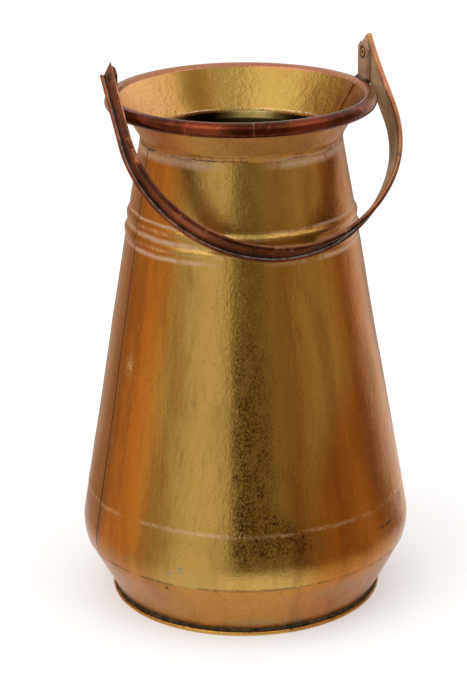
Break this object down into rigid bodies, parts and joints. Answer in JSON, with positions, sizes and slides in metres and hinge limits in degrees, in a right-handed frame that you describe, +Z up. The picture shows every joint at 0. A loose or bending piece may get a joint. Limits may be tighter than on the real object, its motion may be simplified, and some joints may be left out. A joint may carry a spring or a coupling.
{
  "type": "water can with bail handle",
  "caption": "Open-mouthed conical brass water can with a folded foot, flared neck, rolled copper rim and a swinging copper strip bail riveted to upright ears.",
  "frame": {"origin": "centre of the foot on the surface that the can stands on", "axes": "+Z up along the can's axis; the bail turns about X and hangs towards -Y"},
  "size_m": [0.217, 0.2165, 0.3683],
  "materials": {
    "brass": "worn satin, tarnished",
    "copper": "dark tarnished copper",
    "solder": "dull grey solder",
    "iron": "dull iron wire",
    "rivet_brass": "peened brass"
  },
  "bodies": {
    "can": {"body_shell": "brass", "body_bulge": "brass", "base_cup": "brass", "base_disc": "brass", "collar": "brass", "foot_solder": "solder", "lap_solder": "solder", "neck_solder": "solder", "rim_roll": "copper", "rim_wire": "iron", "ear_left": "copper", "ear_right": "copper", "ear_braze_left": "solder", "ear_braze_right": "solder"},
    "bail": {"bail_strip": "copper", "bail_wire_front": "iron", "bail_wire_back": "iron", "pivot_rivet_left": "rivet_brass", "pivot_rivet_right": "rivet_brass"}
  },
  "joints": [
    {"name": "bail_swing", "type": "hinge", "parent": "can", "child": "bail", "pos_m": [0, 0, 0.356], "axis": [-1, 0, 0], "range_deg": [0, 279.6]}
  ]
}
